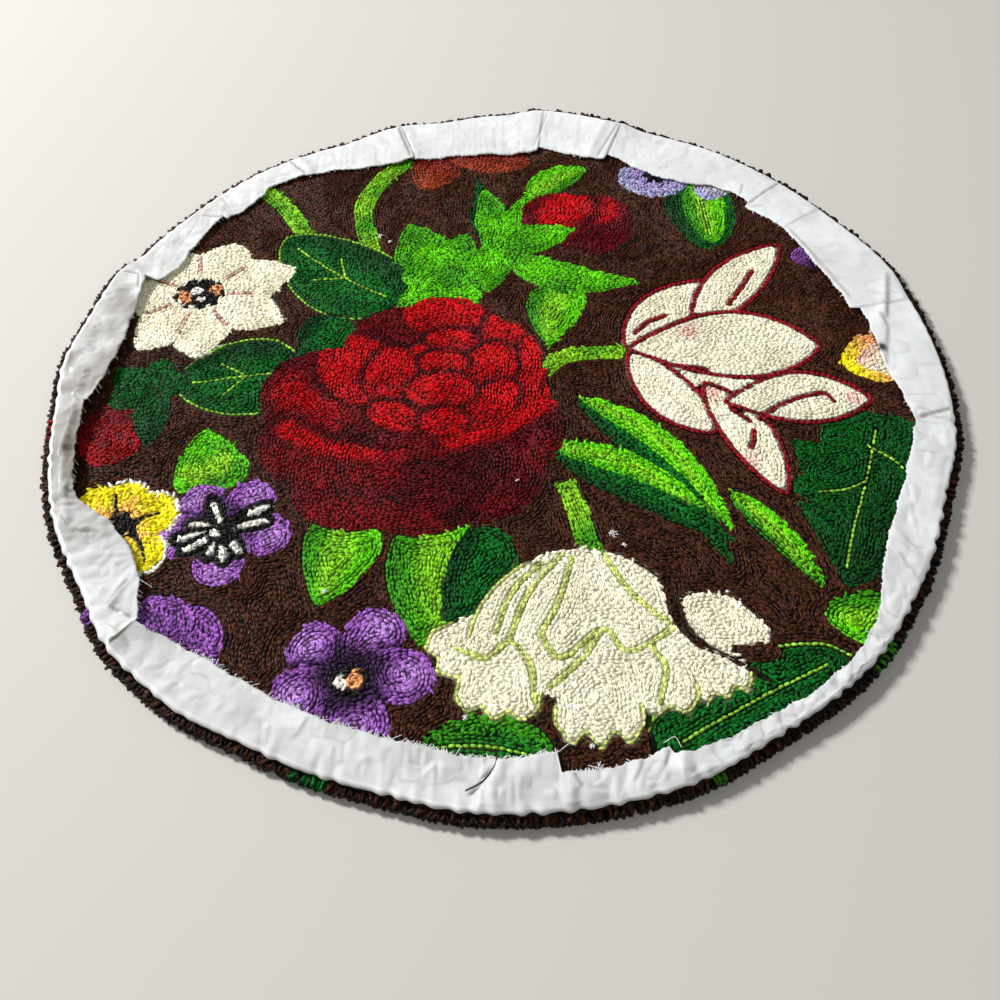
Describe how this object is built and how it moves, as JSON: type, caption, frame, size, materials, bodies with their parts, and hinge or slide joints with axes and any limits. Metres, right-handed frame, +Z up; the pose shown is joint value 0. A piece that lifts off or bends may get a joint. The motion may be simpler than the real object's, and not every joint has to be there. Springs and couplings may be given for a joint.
{
  "type": "round hooked rug",
  "caption": "Round hand-hooked rug lying face down: floral yarn stitches on dark brown, with its raw cotton margin turned to the back as an uneven hem",
  "frame": {"origin": "middle of the outline on the floor under the loops", "axes": "+Z up from the floor to the turned hem on the back, -Y towards the viewer of the picture, +X to the right"},
  "size_m": [0.6176, 0.6094, 0.0178],
  "materials": {
    "loop_yarn": "soft yarn loops, matt",
    "cotton_cloth": "plain-woven cotton, matt, a little stained",
    "stitch_yarn": "flat yarn stitches with a faint sheen"
  },
  "bodies": {
    "root": {"loop_pile": "loop_yarn", "foundation_cloth": "cotton_cloth", "back_stitches": "stitch_yarn"}
  },
  "joints": []
}
